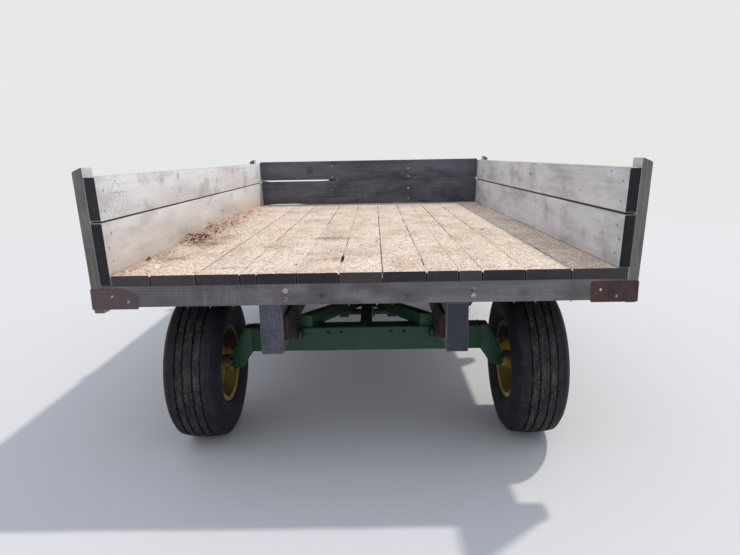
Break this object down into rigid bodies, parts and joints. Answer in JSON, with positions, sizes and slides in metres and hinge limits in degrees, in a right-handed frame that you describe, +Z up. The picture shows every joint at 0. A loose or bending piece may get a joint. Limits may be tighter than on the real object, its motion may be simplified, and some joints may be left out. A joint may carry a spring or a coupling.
{
  "type": "dump wagon",
  "caption": "Four-wheel farm dump wagon: an open plank box with side walls and a headboard, tipping rearward on a steered running gear.",
  "frame": {"origin": "middle of the wagon's outline, on the ground", "axes": "+X to the wagon's right, +Y forward to the tongue, +Z up"},
  "size_m": [2.4772, 5.1173, 1.445],
  "materials": {
    "side_wood": "weathered grey",
    "deck_wood": "dusty, worn",
    "head_wood": "weathered grey",
    "beam_wood": "weathered grey, rough sawn",
    "rusty_steel": "rusty",
    "brown_steel": "worn brown paint",
    "bare_steel": "dull",
    "hoist_paint": "worn dark paint",
    "rod_chrome": "polished",
    "tyre": "dusty",
    "wheel_paint": "dull, dusty",
    "gear_paint": "worn, dusty"
  },
  "bodies": {
    "chassis": {"rear_axle_beam": "gear_paint", "rear_axle_brackets": "gear_paint", "rear_spindles": "bare_steel", "front_axle_beam": "gear_paint", "front_axle_brackets": "gear_paint", "kingpins": "bare_steel", "reach_tube": "gear_paint", "rear_hounds": "gear_paint", "front_hounds": "gear_paint", "bolster_stakes": "brown_steel", "hoist_bracket": "gear_paint", "hoist_low_shaft": "bare_steel", "hinge_lugs": "gear_paint", "hinge_pins": "bare_steel", "steering_pin": "bare_steel"},
    "bed": {"sills": "beam_wood", "rear_cross_beam": "beam_wood", "cross_members": "beam_wood", "deck_planks": "deck_wood", "side_boards_left": "side_wood", "side_boards_right": "side_wood", "stakes_left": "side_wood", "stakes_right": "side_wood", "corner_plates": "rusty_steel", "headboard_planks": "head_wood", "headboard_uprights": "head_wood", "hinge_plates": "rusty_steel", "hoist_high_beam": "hoist_paint", "hoist_lugs": "hoist_paint"},
    "hoist_barrel_pair": {"hoist_barrels": "hoist_paint"},
    "hoist_rod_pair": {"hoist_rods": "rod_chrome"},
    "steering": {"steering_plate": "gear_paint", "tongue_pin": "bare_steel"},
    "drawbar": {"tongue": "gear_paint"},
    "knuckle_left_body": {"knuckle_left": "gear_paint"},
    "knuckle_right_body": {"knuckle_right": "gear_paint"},
    "tie_rod_left_body": {"tie_rod_left": "bare_steel"},
    "tie_rod_right_body": {"tie_rod_right": "bare_steel"},
    "wheel_rear_left": {"tyre_rear_left": "tyre", "rim_rear_left": "wheel_paint", "hub_rear_left": "wheel_paint"},
    "wheel_rear_right": {"tyre_rear_right": "tyre", "rim_rear_right": "wheel_paint", "hub_rear_right": "wheel_paint"},
    "wheel_front_left": {"tyre_front_left": "tyre", "rim_front_left": "wheel_paint", "hub_front_left": "wheel_paint"},
    "wheel_front_right": {"tyre_front_right": "tyre", "rim_front_right": "wheel_paint", "hub_front_right": "wheel_paint"}
  },
  "joints": [
    {"name": "dump", "type": "hinge", "parent": "chassis", "child": "bed", "pos_m": [0, -2.19274, 0.575], "axis": [1, 0, 0], "range_deg": [0, 45]},
    {"name": "hoist_swing", "type": "hinge", "parent": "chassis", "child": "hoist_barrel_pair", "pos_m": [0, -1.30274, 0.44], "axis": [1, 0, 0], "range_deg": [0, 60.1]},
    {"name": "hoist_stroke", "type": "slide", "parent": "hoist_barrel_pair", "child": "hoist_rod_pair", "axis": [0, 0.9772, 0.2124], "range_m": [0, 0.5404]},
    {"name": "steer", "type": "hinge", "parent": "chassis", "child": "steering", "pos_m": [0, 0.40726, 0.448], "axis": [0, 0, 1], "range_deg": [-30, 30]},
    {"name": "tongue_lift", "type": "hinge", "parent": "steering", "child": "drawbar", "pos_m": [0, 0.66226, 0.448], "axis": [1, 0, 0], "range_deg": [0, 22]},
    {"name": "knuckle_left_turn", "type": "hinge", "parent": "chassis", "child": "knuckle_left_body", "pos_m": [-0.66, 0.40726, 0.39], "axis": [0, 0, 1], "range_deg": [-30, 30]},
    {"name": "tie_rod_left_turn", "type": "hinge", "parent": "steering", "child": "tie_rod_left_body", "pos_m": [-0.035, 0.58726, 0.472], "axis": [0, 0, 1], "range_deg": [-30, 30]},
    {"name": "knuckle_right_turn", "type": "hinge", "parent": "chassis", "child": "knuckle_right_body", "pos_m": [0.66, 0.40726, 0.39], "axis": [0, 0, 1], "range_deg": [-30, 30]},
    {"name": "tie_rod_right_turn", "type": "hinge", "parent": "steering", "child": "tie_rod_right_body", "pos_m": [0.035, 0.58726, 0.472], "axis": [0, 0, 1], "range_deg": [-30, 30]},
    {"name": "wheel_rear_left_spin", "type": "hinge", "parent": "chassis", "child": "wheel_rear_left", "pos_m": [-0.852, -2.09274, 0.39], "axis": [1, 0, 0], "continuous": true},
    {"name": "wheel_front_left_spin", "type": "hinge", "parent": "knuckle_left_body", "child": "wheel_front_left", "pos_m": [-0.852, 0.40726, 0.39], "axis": [1, 0, 0], "continuous": true},
    {"name": "wheel_rear_right_spin", "type": "hinge", "parent": "chassis", "child": "wheel_rear_right", "pos_m": [0.852, -2.09274, 0.39], "axis": [1, 0, 0], "continuous": true},
    {"name": "wheel_front_right_spin", "type": "hinge", "parent": "knuckle_right_body", "child": "wheel_front_right", "pos_m": [0.852, 0.40726, 0.39], "axis": [1, 0, 0], "continuous": true}
  ],
  "couplings": [
    {"joint": "hoist_swing", "follows": "dump", "ratio": 1.3345},
    {"joint": "hoist_stroke", "follows": "dump", "m_per_rad": 0.68683},
    {"joint": "knuckle_left_turn", "follows": "steer", "ratio": 1},
    {"joint": "tie_rod_left_turn", "follows": "steer", "ratio": -1},
    {"joint": "knuckle_right_turn", "follows": "steer", "ratio": 1},
    {"joint": "tie_rod_right_turn", "follows": "steer", "ratio": -1}
  ]
}
